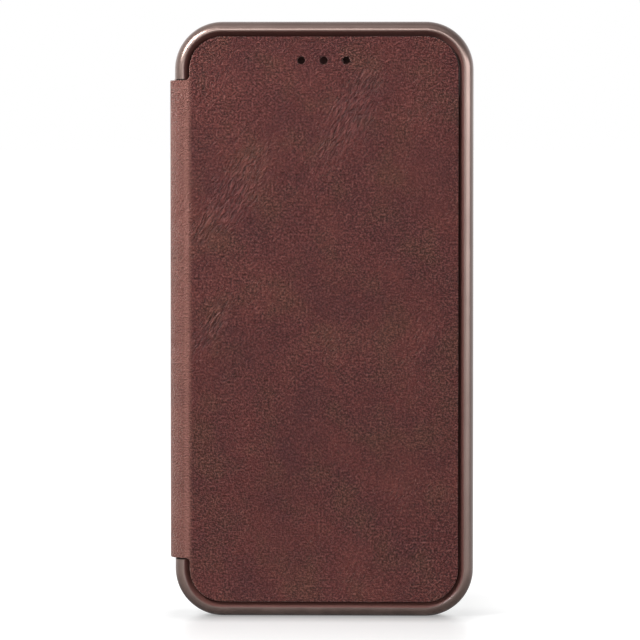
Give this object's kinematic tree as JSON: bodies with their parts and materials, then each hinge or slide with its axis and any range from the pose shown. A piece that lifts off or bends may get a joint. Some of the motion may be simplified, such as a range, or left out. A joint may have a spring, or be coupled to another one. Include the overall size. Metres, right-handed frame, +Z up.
{
  "type": "phone wallet case",
  "caption": "Slim folio phone case: lacquered moulded tray with a flush leather front cover, a folding leather spine and a card pocket inside the cover.",
  "frame": {"origin": "bottom centre of the closed case's bounding box, where it stands on its bottom edge", "axes": "+Z up along the case's length, -Y out of the front cover, +X towards the free edge of the cover, so the folding spine is on the -X side"},
  "size_m": [0.0728, 0.012, 0.1429],
  "materials": {
    "brown_leather": "smooth fine-grained burgundy-brown leather with a satin sheen",
    "suede_lining": "matt microfibre suede",
    "bronze_lacquer": "moulded plastic with a satin metallic bronze-brown lacquer",
    "stiffener_board": "dark grey fibre board",
    "magnet_nickel": "nickel plate",
    "keeper_steel": "bare steel strip",
    "sewing_thread": "waxed brown thread"
  },
  "bodies": {
    "shell": {"phone_tray": "bronze_lacquer", "back_leather": "brown_leather", "upper_keeper": "keeper_steel", "middle_keeper": "keeper_steel", "lower_keeper": "keeper_steel"},
    "spine": {"spine_leather": "brown_leather", "spine_lining": "suede_lining"},
    "cover": {"cover_leather": "brown_leather", "cover_board": "stiffener_board", "cover_lining": "suede_lining", "card_pocket": "brown_leather", "pocket_thread": "sewing_thread", "upper_magnet": "magnet_nickel", "middle_magnet": "magnet_nickel", "lower_magnet": "magnet_nickel"}
  },
  "joints": [
    {"name": "spine_fold", "type": "hinge", "parent": "shell", "child": "spine", "pos_m": [-0.03655, 0.0016, 0.07145], "axis": [0, 0, -1], "range_deg": [0, 180]},
    {"name": "cover_fold", "type": "hinge", "parent": "spine", "child": "cover", "pos_m": [-0.03526, -0.00466, 0.07145], "axis": [0, 0, -1], "range_deg": [0, 180]}
  ]
}
